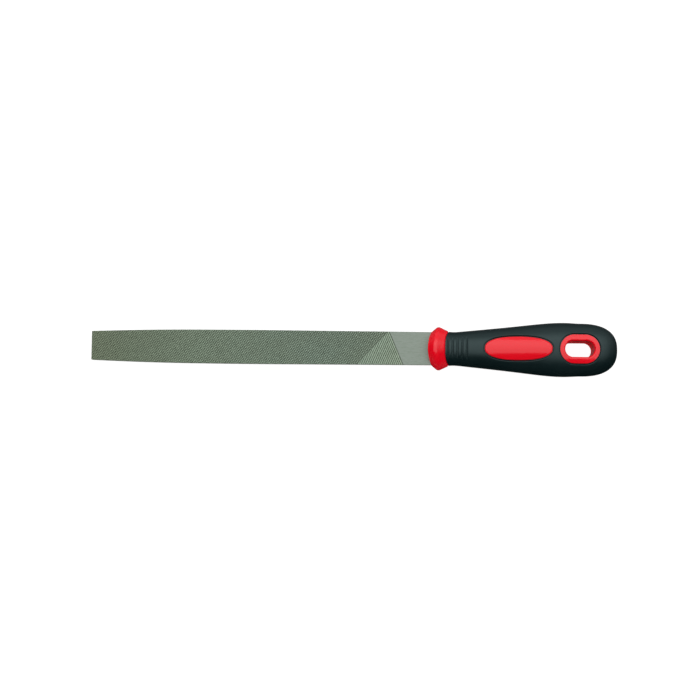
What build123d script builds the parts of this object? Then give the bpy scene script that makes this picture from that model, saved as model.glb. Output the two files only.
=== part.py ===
"""A 200 mm flat file with a two-shot plastic handle.

Three moulded or forged pieces make the tool: the steel blade with its tang, the hard
red handle core that the tang is driven into, and the soft black grip moulded over the core.

Frame, in millimetres: X runs along the tool from the blade's point to the butt of the
handle, Z is square to the blade's two wide faces, and the origin is the middle of the
tool's bounding box. "u" below is measured along X from the blade's point and "v" along X
from the side of the collar's front rim.
"""

import os
from itertools import pairwise
from math import cos, pi, sin

from build123d import *

# Blade
BLADE_LENGTH = 200.0  # point to shoulder, the nominal length of the file
BLADE_TIP_WIDTH = 16.7
BLADE_BELLY_WIDTH = 19.65  # the widest place, where the taper to the point begins
BLADE_HEEL_WIDTH = 19.0
BLADE_BELLY_U = 88.0
BLADE_TAPER_U = 36.0  # the taper bends most about here
BLADE_TAPER_WIDTH = 18.85
CUT_THICKNESS = 5.0  # over the crests of the teeth
HEEL_THICKNESS = 4.8  # the plain ground steel, which the raised teeth stand above
CUT_END_NEAR_U = 174.4  # the slanting end of the teeth, at the edge where it starts
CUT_END_FAR_U = 182.9

# Tang
TANG_LENGTH = 60.0
TANG_ROOT_WIDTH = 12.0
TANG_END_WIDTH = 5.0
TANG_END_THICKNESS = 3.0
TANG_POINT_CHAMFER = 0.8
TANG_CORNER_RADIUS = 2.5
SHOULDER_DEPTH = 4.0  # along X, from the full heel width to the tang's root
SOCKET_AIR = 2.5  # empty socket past the end of the tang

# Handle, outside
RIM_U = 198.0  # the side of the collar's front rim, from the blade's point
HANDLE_LENGTH = 107.4
REAR_V = 85.5  # from here to the butt the outline is one superellipse
REAR_HALF_WIDTH = 15.28
REAR_HALF_THICKNESS = 11.15
REAR_POWER = 2.53
SECTION_POWER = 2.3  # a section a little squarer than an ellipse
# Half width and half thickness of the grip at each place along it.
GRIP_STATIONS = [
    (4.5, 9.9, 9.1),
    (8.5, 9.98, 9.15),
    (11.0, 9.82, 9.05),
    (13.5, 9.72, 9.0),
    (17.0, 9.96, 9.15),
    (24.0, 10.66, 9.65),
    (36.0, 11.86, 10.35),
    (48.0, 13.15, 10.95),
    (60.0, 14.52, 11.5),
    (68.0, 15.3, 11.78),
    (75.0, 15.63, 11.85),
    (80.0, 15.55, 11.6),
    (REAR_V, REAR_HALF_WIDTH, REAR_HALF_THICKNESS),
]
REAR_STEPS = 12

# Collar. Each ring of it is saddle-shaped: it bulges towards the blade over the wide faces.
COLLAR_START = (-4.2, 0.0, 5.6, 6.7)  # v at the side, bulge, half width, half thickness
COLLAR_RIDGE = (4.3, 2.0, 12.97, 12.0)
COLLAR_BACK = (9.9, 2.6, 10.34, 9.55)
COLLAR_END = (11.6, 0.0, 6.6, 6.2)
COLLAR_FRONT_V = 0.3  # where the front face meets the blade's narrow edges
COLLAR_FRONT_BULGE = 1.95
COLLAR_FRONT_HALF_WIDTH = 9.5
COLLAR_RIDGE_RADIUS = 2.3
COLLAR_RIM_RADIUS = 0.4

# Core under the grip
GRIP_WALL = 2.9
STEM_END_V = 80.0
LOCK_GROOVE_DEPTH = 1.2
LOCK_GROOVE_LENGTH = 3.0
LOCK_GROOVE_V = (24.0, 70.0)

# Thumb pads, one on each wide side, part of the core
PAD_V = 50.2
PAD_LENGTH = 38.6
PAD_WIDTH = 13.5
PAD_POWER = 2.35
PAD_PROUD = 0.9  # at the crown, above the grip
PAD_END_PROUD = 0.3
PAD_CROWN_HALF_WIDTH = 12.65  # of the elliptical sections that the crown follows
PAD_CROWN_STEPS = 4
PAD_EDGE_RADIUS = 0.9

# Hanging eyelet, part of the core
EYELET_V = 85.1
EYELET_LENGTH = 22.6
EYELET_WIDTH = 16.5
HOLE_LENGTH = 16.9
HOLE_WIDTH = 9.2
HOLE_EDGE_RADIUS = 1.0
EYELET_SUNK = 0.1

# The shadow groove round each red window in the grip, and behind the collar
GAP_WIDTH = 0.6
GAP_DEPTH = 0.8
COLLAR_GAP = 0.55
LIP_RADIUS = 0.35

# Thumb ribs: grooves across each wide side of the neck, fading out towards the edges
RIB_FIRST_V = 9.9
RIB_PITCH = 2.7
RIB_COUNT = 5
RIB_DEPTH = 0.5
RIB_TOOL_RADIUS = 0.45
RIB_LIP_RADIUS = 0.7
RIB_SWEEP_RADIUS = 19.0
TOUCHING = 0.01

TOTAL_LENGTH = RIM_U + HANDLE_LENGTH
BLADE_X = -TOTAL_LENGTH / 2  # where u is 0
HANDLE_X = BLADE_X + RIM_U  # where v is 0


# ---------------------------------------------------------------- blade


def blade_outline(end_near=BLADE_LENGTH, end_far=BLADE_LENGTH):
    """The blade from above, with its heel end cut from one edge to the other."""
    half = [
        (0.0, BLADE_TIP_WIDTH / 2),
        (BLADE_TAPER_U, BLADE_TAPER_WIDTH / 2),
        (BLADE_BELLY_U, BLADE_BELLY_WIDTH / 2),
        (BLADE_LENGTH, BLADE_HEEL_WIDTH / 2),
    ]
    upper = Spline(*half)
    lower = Spline(*[(u, -y) for u, y in half])
    edges = upper + lower + Line(upper @ 0, lower @ 0) + Line(upper @ 1, lower @ 1)
    face = make_face(edges)
    trim = Polygon(
        (-1, BLADE_LENGTH), (end_near, BLADE_LENGTH), (end_near, BLADE_BELLY_WIDTH / 2),
        (end_far, -BLADE_BELLY_WIDTH / 2), (end_far, -BLADE_LENGTH), (-1, -BLADE_LENGTH),
        align=None,
    )  # fmt: skip
    return face & trim


def make_tang():
    """A spike from the shoulder, tapering in width and in thickness."""
    root, end = TANG_ROOT_WIDTH / 2, TANG_END_WIDTH / 2
    shoulder = BLADE_HEEL_WIDTH / 2
    plan = Polygon(
        (-1, shoulder), (0, shoulder), (SHOULDER_DEPTH, root), (TANG_LENGTH, end),
        (TANG_LENGTH, -end), (SHOULDER_DEPTH, -root), (0, -shoulder), (-1, -shoulder),
        align=None,
    )  # fmt: skip
    corners = plan.vertices().filter_by(lambda p: abs(p.X - SHOULDER_DEPTH) < 0.01)
    plan = fillet(corners, TANG_CORNER_RADIUS)
    side = Polygon(
        (-1, HEEL_THICKNESS / 2), (SHOULDER_DEPTH, HEEL_THICKNESS / 2),
        (TANG_LENGTH, TANG_END_THICKNESS / 2), (TANG_LENGTH, -TANG_END_THICKNESS / 2),
        (SHOULDER_DEPTH, -HEEL_THICKNESS / 2), (-1, -HEEL_THICKNESS / 2),
        align=None,
    )  # fmt: skip
    tang = extrude(plan, HEEL_THICKNESS, both=True)
    tang &= extrude(Plane.XZ * side, BLADE_HEEL_WIDTH, both=True)
    point = tang.edges().filter_by(lambda e: abs(e.center().X - TANG_LENGTH) < 0.01)
    return chamfer(point, TANG_POINT_CHAMFER)


def make_blade():
    """Blank with tang, plus the raised toothed area of each wide face."""
    blank = extrude(blade_outline(), HEEL_THICKNESS / 2, both=True)
    blank += Pos(X=BLADE_LENGTH) * make_tang()
    rise = (CUT_THICKNESS - HEEL_THICKNESS) / 2
    toothed = extrude(blade_outline(CUT_END_NEAR_U, CUT_END_FAR_U), rise)
    top = Pos(Z=HEEL_THICKNESS / 2) * toothed
    return Pos(X=BLADE_X) * (blank + top + top.rotate(Axis.X, 180))


# ---------------------------------------------------------------- handle shapes


def ring(v, half_width, half_thickness, bulge=0.0, power=SECTION_POWER, points=32):
    """A closed section of the handle at v, as one smooth wire."""
    places = []
    for i in range(points):
        a = 2 * pi * i / points
        c, s = cos(a), sin(a)
        y = half_width * abs(c) ** (2 / power) * (1 if c >= 0 else -1)
        z = half_thickness * abs(s) ** (2 / power) * (1 if s >= 0 else -1)
        places.append((HANDLE_X + v - bulge * (z / half_thickness) ** 2, y, z))
    return Wire([Edge.make_spline([Vector(*p) for p in places], periodic=True)])


def grip_size(v):
    """Half width and half thickness of the grip at v, between its stations."""
    for (v0, *size0), (v1, *size1) in pairwise(GRIP_STATIONS):
        if v0 <= v <= v1:
            share = (v - v0) / (v1 - v0)
            return [a + (b - a) * share for a, b in zip(size0, size1)]
    raise ValueError(f"{v} is outside the stations")


def grip_body(grow=0.0, first=0, last=None):
    """The handle's outer form, larger by grow all round. With last, it ends there."""
    rows = GRIP_STATIONS[first:last]
    rings = [ring(v, w + grow, t + grow) for v, w, t in rows]
    if last is not None:
        return Part() + Solid.make_loft(rings)
    reach = HANDLE_LENGTH - REAR_V + grow
    for i in range(1, REAR_STEPS):
        share = sin(pi / 2 * i / REAR_STEPS)
        left = (1 - share**REAR_POWER) ** (1 / REAR_POWER)
        rings.append(
            ring(
                REAR_V + reach * share,
                (REAR_HALF_WIDTH + grow) * left,
                (REAR_HALF_THICKNESS + grow) * left,
            )
        )
    tip = Vertex(HANDLE_X + REAR_V + reach, 0, 0)
    return Part() + Solid.make_loft([*rings, tip])


def pad_outline(grow=0.0, points=32):
    """A thumb pad from above: a long superellipse."""
    places = []
    for i in range(points):
        a = 2 * pi * i / points
        c, s = cos(a), sin(a)
        x = (PAD_LENGTH / 2 + grow) * abs(c) ** (2 / PAD_POWER) * (1 if c >= 0 else -1)
        y = (PAD_WIDTH / 2 + grow) * abs(s) ** (2 / PAD_POWER) * (1 if s >= 0 else -1)
        places.append((HANDLE_X + PAD_V + x, y))
    return make_face(Edge.make_spline([Vector(*p) for p in places], periodic=True))


def slot_outline(length, width):
    """An obround from above, about the eyelet's centre."""
    return Pos(X=HANDLE_X + EYELET_V) * SlotOverall(length, width)


def through(outline):
    """The outline as a prism right through the handle."""
    return extrude(outline, REAR_HALF_WIDTH, both=True)


# ---------------------------------------------------------------- core


def make_collar():
    """The guard in front of the hand: a faceted saddle ring with a rounded ridge."""
    sections = [
        ring(v, w, t, bulge, power=2.0)
        for v, bulge, w, t in (COLLAR_START, COLLAR_RIDGE, COLLAR_BACK, COLLAR_END)
    ]
    collar = Part() + Solid.make_loft(sections, ruled=True)
    ridge = collar.edges().sort_by(Edge.length)[-1]
    collar = fillet(ridge, COLLAR_RIDGE_RADIUS)
    half, bulge = COLLAR_FRONT_HALF_WIDTH, COLLAR_FRONT_BULGE
    radius = (half**2 + bulge**2) / (2 * bulge)
    front_x = HANDLE_X + COLLAR_FRONT_V - bulge
    collar &= Pos(X=front_x + radius) * Cylinder(radius, 4 * half)
    rim = collar.faces().sort_by(Axis.X)[0].edges()
    return fillet(rim, COLLAR_RIM_RADIUS)


def make_stem():
    """The part of the core that the tang fills and the grip covers."""
    rows = [row for row in GRIP_STATIONS if COLLAR_BACK[0] < row[0] <= STEM_END_V]
    wall = GRIP_WALL
    stem = Part() + Solid.make_loft([ring(v, w - wall, t - wall) for v, w, t in rows])
    for v in LOCK_GROOVE_V:
        size = 2 * REAR_HALF_WIDTH
        slab = Pos(X=HANDLE_X + v) * Box(LOCK_GROOVE_LENGTH, size, size)
        keep = Solid.make_loft(
            [ring(v + dx, *lock_section(v)) for dx in (-LOCK_GROOVE_LENGTH, LOCK_GROOVE_LENGTH)]
        )
        stem -= slab - keep
    return stem


def lock_section(v):
    """Half width and half thickness left at the bottom of a locking groove."""
    return [size - GRIP_WALL - LOCK_GROOVE_DEPTH for size in grip_size(v)]


def pad_crown():
    """The form of both pads' outer faces, more sharply curved than the grip."""
    rings = []
    for i in range(-PAD_CROWN_STEPS, PAD_CROWN_STEPS + 1):
        share = i / PAD_CROWN_STEPS
        v = PAD_V + share * (PAD_LENGTH / 2 + 1)
        proud = PAD_PROUD + (PAD_END_PROUD - PAD_PROUD) * share**2
        half_thickness = grip_size(v)[1] + proud
        rings.append(ring(v, PAD_CROWN_HALF_WIDTH, half_thickness, power=2.0))
    return Part() + Solid.make_loft(rings)


def make_pads():
    """Both thumb pads as the two ends of one pillar, with their rims rounded."""
    pillar = through(pad_outline()) & pad_crown()
    rims = pillar.edges().filter_by(lambda e: e.length > PAD_LENGTH)
    rims = rims.filter_by(lambda e: e.bounding_box().size.Z > PAD_PROUD)
    return fillet(rims, PAD_EDGE_RADIUS)


def make_eyelet():
    """The obround pillar round the hanging hole, still without its hole."""
    return through(slot_outline(EYELET_LENGTH, EYELET_WIDTH)) & grip_body(-EYELET_SUNK)


def make_hole(eyelet):
    """What the hanging hole takes out of the core, with its rounded mouths."""
    ring_shape = eyelet - through(slot_outline(HOLE_LENGTH, HOLE_WIDTH))
    ends = ring_shape.edges().filter_by(lambda e: abs(e.center().Z) > HOLE_WIDTH / 2)
    inner = ends.filter_by(lambda e: abs((e @ 0.5).Y) < HOLE_WIDTH / 2 + 0.01)
    mouths = inner.filter_by(
        lambda e: abs((e @ 0.5).X - HANDLE_X - EYELET_V) < HOLE_LENGTH / 2 + 0.01
    )
    return eyelet - fillet(mouths, HOLE_EDGE_RADIUS)


def make_core(filled, hole, blade):
    """The core with the tang's socket and the hanging hole."""
    core = filled - blade
    air_x = BLADE_X + BLADE_LENGTH + TANG_LENGTH + SOCKET_AIR / 2
    air_width = TANG_END_WIDTH - 2 * TANG_POINT_CHAMFER
    air_thickness = TANG_END_THICKNESS - 2 * TANG_POINT_CHAMFER
    core -= Pos(X=air_x) * Box(SOCKET_AIR, air_width, air_thickness)
    return core - hole


# ---------------------------------------------------------------- grip


def window_gaps():
    """The narrow grooves between the grip and each red window."""
    gap = GAP_WIDTH
    outer = through(pad_outline(gap))
    outer += through(slot_outline(EYELET_LENGTH + 2 * gap, EYELET_WIDTH + 2 * gap))
    return outer - grip_body(-GAP_DEPTH)


def collar_gap(collar):
    """The narrow groove between the back of the collar and the grip."""
    return Pos(X=COLLAR_GAP) * collar - grip_body(-GAP_DEPTH)


def cut_ribs(body):
    """The body with its thumb ribs: arcs that leave the surface towards the sides."""
    for i in range(RIB_COUNT):
        v = RIB_FIRST_V + i * RIB_PITCH
        centre_z = grip_size(v)[1] + RIB_TOOL_RADIUS - RIB_DEPTH - RIB_SWEEP_RADIUS
        cutter = Rot(Y=90) * Torus(RIB_SWEEP_RADIUS, RIB_TOOL_RADIUS)
        body -= Pos(HANDLE_X + v, 0, centre_z) * cutter
        body -= Pos(HANDLE_X + v, 0, -centre_z) * cutter
    return body


def skin_edges(grip, body, first_v, last_v):
    """The edges on the grip's outer skin, on the wide sides, between two places."""
    skin = body.faces().sort_by(SortBy.AREA)[-1]
    edges = grip.edges().filter_by(lambda e: abs((e @ 0.5).Z) > HOLE_WIDTH / 2)
    edges = edges.filter_by(lambda e: first_v < (e @ 0.5).X - HANDLE_X < last_v)
    return edges.filter_by(lambda e: skin.distance_to(e @ 0.5) < TOUCHING)


def make_grip(core_filled, collar):
    """The soft shell: the handle's outer form less the core, the gaps and the ribs."""
    body = grip_body()
    ribs_from = RIB_FIRST_V - RIB_PITCH / 2
    ribs_to = RIB_FIRST_V + RIB_PITCH * RIB_COUNT
    ribbed = cut_ribs(body)
    lips = skin_edges(ribbed, body, ribs_from, ribs_to)
    ribbed = fillet(lips, RIB_LIP_RADIUS)
    grip = ribbed - core_filled - window_gaps() - collar_gap(collar)
    lips = skin_edges(grip, body, ribs_to, HANDLE_LENGTH)
    return fillet(lips, LIP_RADIUS)


def main():
    os.makedirs("parts", exist_ok=True)
    blade = make_blade()
    collar = make_collar()
    eyelet = make_eyelet()
    filled = collar + make_stem() + make_pads() + eyelet
    pieces = {
        "file_blade": blade,
        "handle_core": make_core(filled, make_hole(eyelet), blade),
        "handle_grip": make_grip(filled, collar),
    }
    for name, shape in pieces.items():
        export_step(shape, f"parts/{name}.step")


main()
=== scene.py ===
"""The looks of a 200 mm flat file with a two-colour handle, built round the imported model.

Frame, in metres: X runs from the blade's point to the butt of the handle, Y across the
blade and Z square to its wide faces. The blade is measured here in millimetres from its
point: u along X, y across and z up.
"""

import math

import bmesh
import bpy
import numpy as np
from mathutils import Matrix, Vector

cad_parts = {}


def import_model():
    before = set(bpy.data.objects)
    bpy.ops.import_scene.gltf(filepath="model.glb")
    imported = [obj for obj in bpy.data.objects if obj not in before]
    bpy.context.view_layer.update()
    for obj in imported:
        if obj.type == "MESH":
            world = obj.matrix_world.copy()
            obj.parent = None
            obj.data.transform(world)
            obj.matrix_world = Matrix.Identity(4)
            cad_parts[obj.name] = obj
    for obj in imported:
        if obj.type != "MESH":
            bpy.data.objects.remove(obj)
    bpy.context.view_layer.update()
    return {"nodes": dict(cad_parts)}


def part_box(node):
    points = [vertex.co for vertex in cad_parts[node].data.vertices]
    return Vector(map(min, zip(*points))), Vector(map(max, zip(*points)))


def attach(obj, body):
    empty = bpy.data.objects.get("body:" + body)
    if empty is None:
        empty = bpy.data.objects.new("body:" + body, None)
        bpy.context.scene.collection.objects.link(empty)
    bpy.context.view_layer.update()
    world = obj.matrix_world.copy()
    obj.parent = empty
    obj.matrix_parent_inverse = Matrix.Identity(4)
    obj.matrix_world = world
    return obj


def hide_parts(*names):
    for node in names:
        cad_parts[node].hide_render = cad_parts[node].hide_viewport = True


MM = 0.001

# Blade, in millimetres. Each station is (u, half width).
OUTLINE = [(0.0, 8.35), (36.0, 9.42), (88.0, 9.82), (145.0, 9.66), (200.0, 9.5)]
LENGTH = 200.0
POINT_STEEPER = 1.25  # slope of the outline at the point, over its slope to the next station
FACE_Z = 2.5  # the crests of the teeth
HEEL_Z = 2.4
WALL_Z = 2.02  # the narrow edges' teeth end here, just below the face's grooves
# Each set of cuts: its angle to the file's axis, its pitch square to the cuts, and the
# place on the middle line where it ends. The first set leans the other way.
FIRST_ANGLE = math.radians(47.0)
FIRST_PITCH = 1.08
FIRST_END = 163.8
SECOND_ANGLE = math.radians(66.8)
SECOND_PITCH = 1.042
SECOND_END = 178.05
# One tooth across each set: places along the pitch and how deep the cut is there.
FIRST_PROFILE = [(0.0, 0.30), (0.3, 0.02), (0.66, 0.0)]
SECOND_PROFILE = [(0.0, 0.38), (0.2, 0.0), (0.58, 0.16)]
SEED = 11
TOOTH_JITTER = 0.01  # random depth of the places that lie deeper than a crest
CREST_DEPTH = 0.1
SURFACE_JITTER = 0.012  # random depth of every place
# The lattice of teeth reaches past the blade, and is then trimmed to it.
LATTICE_SIDE = 11.0
LATTICE_PAST_ENDS = 2.6
ROWS_PAST_ENDS = 2.0
SHEET_HALF_WIDTH = 10.0  # while it is trimmed, the sheet is as wide as this everywhere
SAME_PLACE = 0.001
# The narrow edges. Their teeth slant, and lie between the two places of the run-out.
EDGE_PITCH = 1.0
EDGE_PROFILE = [(0.0, 0.2), (0.25, 0.0), (0.6, 0.07)]
EDGE_SLANT = 0.45  # sideways run of the edge teeth for each millimetre of height
EDGE_RUN_OUT = (1.6, 174.0)
EDGE_SLANT_MARGIN = 1.0  # the slant goes on this far past the run-out
EDGE_LEAST_SHIFTED = 0.3  # no slant takes a place nearer to the point than this part of u
EDGE_PLAIN_PLACES = (0.8, 188.0)  # before the first tooth, and on the plain heel
TANG_ROOT = (204.0, 6.0, 2.4)  # u, half width, half thickness
TANG_END = (260.0, 2.5, 1.5)
# Which material a face has.
CUT, PLAIN, EDGE = 0, 1, 2


def half_width(u):
    """The blade's half width, by a smooth curve through the stations."""
    us = np.array([p[0] for p in OUTLINE])
    ws = np.array([p[1] for p in OUTLINE])
    steps = np.diff(us)
    rises = np.diff(ws) / steps
    slopes = np.empty(len(us))
    slopes[0], slopes[-1] = rises[0] * POINT_STEEPER, rises[-1]
    slopes[1:-1] = (rises[:-1] * steps[1:] + rises[1:] * steps[:-1]) / (
        steps[:-1] + steps[1:]
    )
    u = np.clip(np.asarray(u, float), us[0], us[-1])
    k = np.clip(np.searchsorted(us, u, side="right") - 1, 0, len(steps) - 1)
    t = (u - us[k]) / steps[k]
    h00, h10 = 2 * t**3 - 3 * t**2 + 1, t**3 - 2 * t**2 + t
    h01, h11 = 3 * t**2 - 2 * t**3, t**3 - t**2
    return (
        h00 * ws[k]
        + h10 * steps[k] * slopes[k]
        + h01 * ws[k + 1]
        + h11 * steps[k] * slopes[k + 1]
    )


def lattice_points(profile, low, high):
    """Phases from low to high, with one entry for each place in the profile."""
    whole = np.arange(math.floor(low), math.ceil(high) + 1)
    fractions = np.array([f for f, _ in profile])
    depths = np.array([d for _, d in profile])
    phases = (whole[:, None] + fractions[None, :]).ravel()
    return phases, np.tile(depths, len(whole))


def cut_lattice(angle, pitch, profile):
    """Sine and cosine of a set's angle, and its places and depths across the whole blade."""
    sine, cosine = math.sin(angle), math.cos(angle)
    places, depths = lattice_points(
        profile,
        (-LATTICE_SIDE * cosine - ROWS_PAST_ENDS * sine) / pitch,
        ((LENGTH + ROWS_PAST_ENDS) * sine + LATTICE_SIDE * cosine) / pitch,
    )
    return sine, cosine, places, depths


def toothed_lattice():
    """Where the two sets of cuts cross: u, y, z and whether the place is past the cuts."""
    s1, c1, first, first_depths = cut_lattice(FIRST_ANGLE, FIRST_PITCH, FIRST_PROFILE)
    s2, c2, second, second_depths = cut_lattice(SECOND_ANGLE, SECOND_PITCH, SECOND_PROFILE)
    first_end = round(FIRST_END * s1 / FIRST_PITCH)
    second_end = round(SECOND_END * s2 / SECOND_PITCH)
    first, second = np.meshgrid(first, second, indexing="ij")
    # The distances square to the cuts are a = u s1 - y c1 and b = u s2 + y c2.
    a, b = first * FIRST_PITCH, second * SECOND_PITCH
    whole = s1 * c2 + s2 * c1
    u = (a * c2 + b * c1) / whole
    y = (b * s1 - a * s2) / whole
    random = np.random.RandomState(SEED)
    wobble = random.normal(0.0, TOOTH_JITTER, u.shape)
    cut = np.maximum(
        np.where(first <= first_end, first_depths[:, None], 0.0),
        np.broadcast_to(second_depths[None, :], u.shape),
    )
    depth = cut + np.where(cut < CREST_DEPTH, 0.0, wobble)
    depth += np.abs(random.normal(0.0, SURFACE_JITTER, u.shape))
    z = np.where(second <= second_end + SAME_PLACE, FACE_Z - depth, HEEL_Z)
    return u, y, z, second >= second_end - SAME_PLACE


def toothed_sheet():
    """One wide face: the lattice of both sets of cuts, trimmed to the outline.

    Trimming is done with y divided by the half width, so that the sides are straight.
    """
    u, y, z, past_cuts = toothed_lattice()
    keep_u = (u > -LATTICE_PAST_ENDS) & (u < LENGTH + LATTICE_PAST_ENDS)
    keep = keep_u & (np.abs(y) < LATTICE_SIDE)
    cell = keep[:-1, :-1] & keep[1:, :-1] & keep[:-1, 1:] & keep[1:, 1:]
    used = np.zeros(keep.shape, bool)
    for corner in (used[:-1, :-1], used[1:, :-1], used[:-1, 1:], used[1:, 1:]):
        corner |= cell
    number = -np.ones(keep.shape, int)
    number[used] = np.arange(used.sum())
    across = y / half_width(u) * SHEET_HALF_WIDTH
    coords = np.stack([u[used], across[used], z[used]], 1)
    i, j = np.nonzero(cell)
    quads = np.stack(
        [number[i, j], number[i, j + 1], number[i + 1, j + 1], number[i + 1, j]], 1
    )
    mesh = bpy.data.meshes.new("sheet")
    mesh.from_pydata(coords.tolist(), [], quads.tolist())
    kinds = np.where(past_cuts[i, j], PLAIN, CUT)
    mesh.polygons.foreach_set("material_index", kinds.astype(np.int32))
    bm = bmesh.new()
    bm.from_mesh(mesh)
    bpy.data.meshes.remove(mesh)
    trim(bm)
    bmesh.ops.recalc_face_normals(bm, faces=bm.faces[:])
    if sum(f.normal.z for f in bm.faces) < 0:
        bmesh.ops.reverse_faces(bm, faces=bm.faces[:])
    return bm


def trim(bm):
    """Cuts the sheet off at the blade's sides, its point and its shoulder."""
    for point, out in (
        ((0, SHEET_HALF_WIDTH, 0), (0, 1, 0)),
        ((0, -SHEET_HALF_WIDTH, 0), (0, -1, 0)),
        ((0, 0, 0), (-1, 0, 0)),
        ((LENGTH, 0, 0), (1, 0, 0)),
    ):
        bmesh.ops.bisect_plane(
            bm,
            geom=bm.verts[:] + bm.edges[:] + bm.faces[:],
            plane_co=point,
            plane_no=out,
            clear_outer=True,
            dist=1e-4,
        )


def sheet_data(bm):
    """The sheet's places in true millimetres, its faces, and its four boundary chains."""
    bm.verts.ensure_lookup_table()
    bm.verts.index_update()
    raw = np.array([v.co for v in bm.verts])
    places = raw.copy()
    places[:, 1] = raw[:, 1] / SHEET_HALF_WIDTH * half_width(raw[:, 0])
    faces = [[v.index for v in f.verts] for f in bm.faces]
    kinds = [f.material_index for f in bm.faces]
    rim = sorted({v.index for e in bm.edges if e.is_boundary for v in e.verts})

    def chain(test, key):
        return sorted([i for i in rim if test(raw[i])], key=lambda i: raw[i][key])

    chains = {
        "left": chain(lambda r: r[1] > SHEET_HALF_WIDTH - SAME_PLACE, 0),
        "right": chain(lambda r: r[1] < SAME_PLACE - SHEET_HALF_WIDTH, 0),
        "tip": chain(lambda r: r[0] < SAME_PLACE, 1),
        "heel": chain(lambda r: r[0] > LENGTH - SAME_PLACE, 1),
    }
    return places, faces, kinds, chains


class Builder:
    """Collects vertices and faces for one mesh."""

    def __init__(self):
        self.places = []
        self.faces = []
        self.kinds = []

    def add(self, place):
        self.places.append(tuple(place))
        return len(self.places) - 1

    def face(self, corners, kind):
        self.faces.append(tuple(corners))
        self.kinds.append(kind)

    def zip(self, one, two, axis, kind):
        """Triangles between two chains of vertices that run the same way along axis."""
        i = j = 0
        while i < len(one) - 1 or j < len(two) - 1:
            take_one = j == len(two) - 1 or (
                i < len(one) - 1
                and self.places[one[i + 1]][axis] <= self.places[two[j + 1]][axis]
            )
            if take_one:
                self.face((one[i], one[i + 1], two[j]), kind)
                i += 1
            else:
                self.face((one[i], two[j + 1], two[j]), kind)
                j += 1


def side_wall(build, side):
    """One narrow edge: two rows of vertices with slanting teeth between them."""
    rows = []
    start, end = EDGE_RUN_OUT
    before, after = EDGE_PLAIN_PLACES
    columns = [(0.0, 0.0), (before, 0.0)]
    last = math.floor(end / EDGE_PITCH)
    for tooth in range(math.ceil(start / EDGE_PITCH), last):
        for fraction, depth in EDGE_PROFILE:
            columns.append(((tooth + fraction) * EDGE_PITCH, depth))
    columns += [(last * EDGE_PITCH, 0.0), (after, 0.0), (LENGTH, 0.0)]
    for z in (WALL_Z, -WALL_Z):
        row = []
        for u, depth in columns:
            slants = start - EDGE_SLANT_MARGIN < u < end + EDGE_SLANT_MARGIN
            shifted = u + z * EDGE_SLANT * side if slants else u
            shifted = max(shifted, EDGE_LEAST_SHIFTED * u)
            y = side * (float(half_width(shifted)) - depth)
            row.append(build.add((shifted, y, z)))
        rows.append(row)
    for k in range(len(columns) - 1):
        build.face((rows[0][k], rows[0][k + 1], rows[1][k + 1], rows[1][k]), EDGE)
    return rows


def make_blade_mesh():
    """The whole blade and tang as one closed mesh."""
    places, faces, kinds, chains = sheet_data(toothed_sheet())
    build = Builder()
    for place in places:
        build.add(place)
    for corners, kind in zip(faces, kinds):
        build.face(corners, kind)
    offset = len(places)
    for u, y, z in places:
        build.add((u, -y, -z))
    for corners, kind in zip(faces, kinds):
        build.face([c + offset for c in corners], kind)
    top = chains
    under = {
        "left": [i + offset for i in chains["right"]],
        "right": [i + offset for i in chains["left"]],
        "tip": [i + offset for i in reversed(chains["tip"])],
        "heel": [i + offset for i in reversed(chains["heel"])],
    }
    ends = {}
    for name, side in (("left", 1), ("right", -1)):
        upper, lower = side_wall(build, side)
        build.zip(top[name], upper, 0, EDGE)
        build.zip(under[name], lower, 0, EDGE)
        ends[name] = (upper, lower)
    # The point: a flat end.
    rows = [[ends["right"][k][0], ends["left"][k][0]] for k in (0, 1)]
    build.zip(top["tip"], rows[0], 1, EDGE)
    build.zip(under["tip"], rows[1], 1, EDGE)
    build.face((rows[0][0], rows[0][1], rows[1][1], rows[1][0]), EDGE)
    # The shoulder and the tang.
    rings = []
    for u, w, t in (TANG_ROOT, TANG_END):
        rings.append([build.add((u, y, z)) for y, z in ((-w, t), (w, t), (w, -t), (-w, -t))])
    root, end = rings
    build.zip(top["heel"], [root[0], root[1]], 1, PLAIN)
    build.zip(under["heel"], [root[3], root[2]], 1, PLAIN)
    for name, up, down in (("left", root[1], root[2]), ("right", root[0], root[3])):
        upper, lower = ends[name]
        chain = [under[name][-1], lower[-1], upper[-1], top[name][-1]]
        build.zip(chain, [down, up], 2, PLAIN)
    for k in range(4):
        n = (k + 1) % 4
        build.face((root[k], root[n], end[n], end[k]), PLAIN)
    build.face(end, PLAIN)
    return build


def blade_object(tip_x):
    build = make_blade_mesh()
    places = np.array(build.places) * MM
    places[:, 0] += tip_x
    mesh = bpy.data.meshes.new("file_blade_cut")
    mesh.from_pydata(places.tolist(), [], build.faces)
    piece = bpy.data.objects.new("file_blade_cut", mesh)
    set_material(piece, cut_steel(), plain_steel(), edge_steel())
    mesh.polygons.foreach_set("material_index", np.array(build.kinds, np.int32))
    bm = bmesh.new()
    bm.from_mesh(mesh)
    bmesh.ops.recalc_face_normals(bm, faces=bm.faces[:])
    bm.to_mesh(mesh)
    bm.free()
    mesh.update()
    bpy.context.scene.collection.objects.link(piece)
    return piece


# ---------------------------------------------------------------- materials


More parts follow.
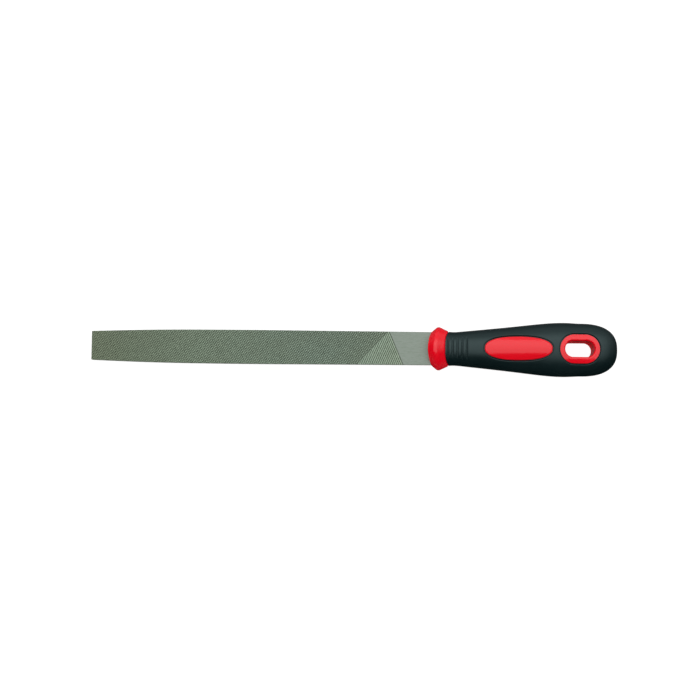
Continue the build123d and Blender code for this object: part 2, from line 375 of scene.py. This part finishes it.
class Nodes:
    """A material's node tree, with short calls for its nodes and links."""

    def __init__(self, name):
        self.material = bpy.data.materials.new(name)
        self.material.use_nodes = True
        self.tree = self.material.node_tree
        self.shader = self.tree.nodes["Principled BSDF"]

    def new(self, kind, **values):
        node = self.tree.nodes.new(kind)
        for key, value in values.items():
            setattr(node, key, value)
        return node

    def link(self, source, target):
        self.tree.links.new(source, target)

    def put(self, socket, value):
        if isinstance(value, bpy.types.NodeSocket):
            self.link(value, socket)
        else:
            socket.default_value = value

    def coords(self):
        return self.new("ShaderNodeTexCoord").outputs["Object"]

    def scaled(self, vector, scale):
        node = self.new("ShaderNodeMapping")
        self.link(vector, node.inputs["Vector"])
        node.inputs["Scale"].default_value = scale
        return node.outputs["Vector"]

    def noise(self, vector, scale, detail=4.0, roughness=0.55):
        node = self.new("ShaderNodeTexNoise")
        self.link(vector, node.inputs["Vector"])
        node.inputs["Scale"].default_value = scale
        node.inputs["Detail"].default_value = detail
        node.inputs["Roughness"].default_value = roughness
        return node.outputs["Fac"]

    def axis(self, vector, name):
        node = self.new("ShaderNodeSeparateXYZ")
        self.link(vector, node.inputs["Vector"])
        return node.outputs[name]

    def math(self, operation, a, b=0.0):
        node = self.new("ShaderNodeMath", operation=operation)
        self.put(node.inputs[0], a)
        self.put(node.inputs[1], b)
        return node.outputs[0]

    def span(self, value, low, high, to_low=0.0, to_high=1.0):
        node = self.new("ShaderNodeMapRange", clamp=True)
        for key, number in zip(
            ("Value", "From Min", "From Max", "To Min", "To Max"),
            (value, low, high, to_low, to_high),
        ):
            self.put(node.inputs[key], number)
        return node.outputs["Result"]

    def ramp(self, value, stops):
        node = self.new("ShaderNodeValToRGB")
        self.link(value, node.inputs["Fac"])
        elements = node.color_ramp.elements
        while len(elements) < len(stops):
            elements.new(0.5)
        for element, (place, colour) in zip(elements, stops):
            element.position = place
            element.color = (*colour, 1.0)
        return node.outputs["Color"]

    def mix(self, factor, a, b):
        """Colour a where the factor is 0 and b where it is 1."""
        node = self.new("ShaderNodeMix", data_type="RGBA")
        self.put(node.inputs[0], factor)
        for socket, value in ((node.inputs[6], a), (node.inputs[7], b)):
            self.put(socket, (*value, 1.0) if isinstance(value, tuple) else value)
        return node.outputs[2]

    def bump(self, height, strength, distance):
        node = self.new("ShaderNodeBump")
        self.link(height, node.inputs["Height"])
        node.inputs["Strength"].default_value = strength
        node.inputs["Distance"].default_value = distance
        return node.outputs["Normal"]

    def set(self, **values):
        for key, value in values.items():
            self.put(self.shader.inputs[key.replace("_", " ")], value)


def cut_steel():
    """The toothed faces: bright crests, grooves darkened with painted shade, tinted along the
    blade.
    """
    n = Nodes("cut_steel")
    place = n.coords()
    height = n.math("ABSOLUTE", n.axis(place, "Z"))
    crest = n.span(height, 0.0021, 0.0025)
    along = n.span(n.axis(place, "X"), -0.153, 0.03)
    tint = n.ramp(
        along,
        [
            (0.0, (0.205, 0.250, 0.158)),
            (0.14, (0.222, 0.288, 0.200)),
            (0.35, (0.292, 0.388, 0.290)),
            (0.75, (0.292, 0.400, 0.328)),
            (1.0, (0.340, 0.430, 0.330)),
        ],
    )
    cloud = n.noise(n.scaled(place, (1.0, 1.6, 1.0)), 60.0)
    tint = n.mix(n.span(cloud, 0.3, 0.7, 0.0, 0.35), tint, (0.25, 0.30, 0.22))
    # Painted shade: the grooves between the teeth get a dark steel colour, and only the crests
    # keep the tint.
    colour = n.mix(crest, (0.12, 0.14, 0.105), tint)
    n.set(
        Base_Color=colour,
        Metallic=1.0,
        Roughness=n.span(n.noise(place, 900.0), 0.3, 0.7, 0.30, 0.45),
    )
    return n.material


def plain_steel():
    """The ground heel and the tang: fine scratches, mostly along the blade."""
    n = Nodes("plain_steel")
    place = n.coords()
    fine = n.noise(n.scaled(place, (0.35, 1.6, 1.0)), 900.0, 3.0, 0.7)
    colour = n.mix(n.span(fine, 0.3, 0.7), (0.165, 0.198, 0.165), (0.245, 0.282, 0.247))
    n.set(
        Base_Color=colour,
        Metallic=1.0,
        Roughness=n.span(fine, 0.3, 0.7, 0.32, 0.50),
        Normal=n.bump(fine, 0.7, 0.00005),
    )
    return n.material


def edge_steel():
    """The narrow edges and the point: duller, under a film of old oil."""
    n = Nodes("edge_steel")
    place = n.coords()
    cloud = n.noise(place, 200.0)
    colour = n.mix(cloud, (0.15, 0.17, 0.14), (0.20, 0.22, 0.19))
    n.set(
        Base_Color=colour,
        Metallic=0.35,
        Roughness=n.span(cloud, 0.3, 0.7, 0.38, 0.5),
    )
    return n.material


def seam(n, place, width):
    """Height of a moulding seam: a fine raised line round the mid-plane of the handle."""
    away = n.math("ABSOLUTE", n.axis(place, "Z"))
    return n.span(away, 0.0, width, 1.0, 0.0)


def red_plastic():
    """Semi-gloss hard red plastic with faint flow marks."""
    n = Nodes("red_plastic")
    place = n.coords()
    flow = n.noise(n.scaled(place, (0.5, 1.0, 1.0)), 90.0)
    colour = n.mix(flow, (0.80, 0.001, 0.010), (0.86, 0.002, 0.015))
    grain = n.noise(place, 2600.0, 2.0)
    height = n.math("ADD", n.math("MULTIPLY", grain, 0.12), seam(n, place, 0.00012))
    n.set(
        Base_Color=colour,
        Roughness=n.span(flow, 0.3, 0.7, 0.15, 0.21),
        Normal=n.bump(height, 0.35, 0.00005),
        Specular_IOR_Level=0.5,
    )
    return n.material


def grip_plastic():
    """Matt near-black soft plastic with a fine spark-eroded grain."""
    n = Nodes("grip_plastic")
    place = n.coords()
    cloud = n.noise(place, 70.0)
    colour = n.mix(cloud, (0.0015, 0.0065, 0.0075), (0.003, 0.011, 0.012))
    grain = n.noise(place, 3200.0, 2.0)
    height = n.math("ADD", n.math("MULTIPLY", grain, 0.35), seam(n, place, 0.00015))
    n.set(
        Base_Color=colour,
        Roughness=n.span(cloud, 0.3, 0.7, 0.38, 0.46),
        Normal=n.bump(height, 0.4, 0.00006),
        Specular_IOR_Level=0.55,
        Specular_Tint=(0.75, 1.0, 1.0, 1.0),
    )
    return n.material


def set_material(piece, *materials):
    piece.data.materials.clear()
    for material in materials:
        piece.data.materials.append(material)


# ---------------------------------------------------------------- stage, light, camera

TABLE_HALF = 6.0
TABLE_GAP = 0.0001  # between the table and the file
LIGHT_SIZE = (2.6, 1.3)
# The light from a direction is the product of these: from this value of the axis to
# this one, this level to this one.
STUDIO_LEVELS = {
    "X": (-1.0, -0.5, 0.1, 1.0),
    "Y": (-0.3, 0.5, 0.01, 0.6),
    "Z": (-0.25, 0.1, 0.2, 1.0),
}
CAMERA_AIM = Vector((-0.0015, -0.0012, 0.0))
CAMERA_LEAN = 0.0726  # towards -Y, for each metre up
CAMERA_AWAY = 0.842
CAMERA_ROLL = math.radians(0.75)
SEEN_WIDTH = 0.4073  # what the picture spans at the distance of the file
SENSOR = 36.0


def table_slope(tip, handle_nodes):
    """Slope of the table under the file, which rests on its point and its handle."""
    return max(
        (tip.z - v.co.z) / (v.co.x - tip.x)
        for node in handle_nodes
        for v in node.data.vertices
    )


def floor(tip, slope):
    """A large pale table, in the plane that the file lies on."""
    up = Vector((slope, 0.0, 1.0)).normalized()
    right = Vector((0.0, 1.0, 0.0)).cross(up).normalized()
    ahead = up.cross(right)
    centre = Vector((tip.x, 0.0, tip.z)) - up * TABLE_GAP
    corners = [
        centre + right * (sx * TABLE_HALF) + ahead * (sy * TABLE_HALF)
        for sx, sy in ((-1, -1), (1, -1), (1, 1), (-1, 1))
    ]
    mesh = bpy.data.meshes.new("table")
    mesh.from_pydata([tuple(c) for c in corners], [], [(0, 1, 2, 3)])
    table = bpy.data.objects.new("table", mesh)
    bpy.context.scene.collection.objects.link(table)
    n = Nodes("table_white")
    n.set(
        Base_Color=(0.25, 0.25, 0.25, 1.0),
        Roughness=0.9,
        Emission_Color=(1.0, 1.0, 1.0, 1.0),
        Emission_Strength=0.92,
        Specular_IOR_Level=0.0,
    )
    set_material(table, n.material)
    table.visible_glossy = False


def area_light(name, angle, radiance, glossy=True):
    """A panel a metre away, at this angle from straight up towards +Y."""
    data = bpy.data.lights.new(name, "AREA")
    data.shape = "RECTANGLE"
    data.size, data.size_y = LIGHT_SIZE
    data.energy = radiance * math.pi * LIGHT_SIZE[0] * LIGHT_SIZE[1]
    lamp = bpy.data.objects.new(name, data)
    lamp.location = (0.0, math.sin(angle), math.cos(angle))
    lamp.rotation_euler = (-angle, 0.0, 0.0)
    lamp.visible_glossy = glossy
    bpy.context.scene.collection.objects.link(lamp)


def studio():
    """White for the camera. The lighting is brighter to +Y, and dark below and past the point."""
    world = bpy.data.worlds.new("studio")
    bpy.context.scene.world = world
    world.use_nodes = True
    tree = world.node_tree
    background = tree.nodes["Background"]
    background.inputs["Color"].default_value = (1.0, 1.0, 1.0, 1.0)
    coords = tree.nodes.new("ShaderNodeTexCoord")
    split = tree.nodes.new("ShaderNodeSeparateXYZ")
    tree.links.new(coords.outputs["Generated"], split.inputs["Vector"])
    product = None
    for axis, span in STUDIO_LEVELS.items():
        part = tree.nodes.new("ShaderNodeMapRange")
        part.interpolation_type = "SMOOTHSTEP"
        for name, value in zip(("From Min", "From Max", "To Min", "To Max"), span):
            part.inputs[name].default_value = value
        tree.links.new(split.outputs[axis], part.inputs["Value"])
        if product:
            both = tree.nodes.new("ShaderNodeMath")
            both.operation = "MULTIPLY"
            tree.links.new(product, both.inputs[0])
            tree.links.new(part.outputs["Result"], both.inputs[1])
            product = both.outputs["Value"]
        else:
            product = part.outputs["Result"]
    path = tree.nodes.new("ShaderNodeLightPath")
    level = tree.nodes.new("ShaderNodeMix")
    tree.links.new(path.outputs["Is Camera Ray"], level.inputs["Factor"])
    tree.links.new(product, level.inputs["A"])
    level.inputs["B"].default_value = 1.0
    tree.links.new(level.outputs["Result"], background.inputs["Strength"])


def lights():
    area_light("key", math.radians(12.0), 1.25)
    area_light("fill", math.radians(-35.0), 0.35, glossy=False)
    studio()


def camera(slope):
    data = bpy.data.cameras.new("camera")
    data.sensor_width = SENSOR
    data.lens = SENSOR * CAMERA_AWAY / SEEN_WIDTH
    data.clip_end = 50.0
    back = Vector((slope, -CAMERA_LEAN, 1.0)).normalized()
    up = Vector((-math.sin(CAMERA_ROLL), math.cos(CAMERA_ROLL), 0.0))
    right = up.cross(back).normalized()
    up = back.cross(right)
    eye = bpy.data.objects.new("camera", data)
    turn = Matrix((right, up, back)).transposed().to_4x4()
    eye.matrix_world = Matrix.Translation(CAMERA_AIM + back * CAMERA_AWAY) @ turn
    bpy.context.scene.collection.objects.link(eye)
    bpy.context.scene.camera = eye


def look():
    view = bpy.context.scene.view_settings
    view.view_transform = "Standard"
    view.look = "None"
    view.exposure = 0.0
    view.gamma = 1.0


def main():
    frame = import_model()
    nodes = frame["nodes"]
    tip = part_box("file_blade")[0]
    slope = table_slope(tip, (nodes["handle_core"], nodes["handle_grip"]))
    blade = blade_object(tip.x)
    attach(blade, "root")
    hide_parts("file_blade")
    set_material(nodes["handle_core"], red_plastic())
    set_material(nodes["handle_grip"], grip_plastic())
    floor(tip, slope)
    lights()
    camera(slope)
    look()


main()
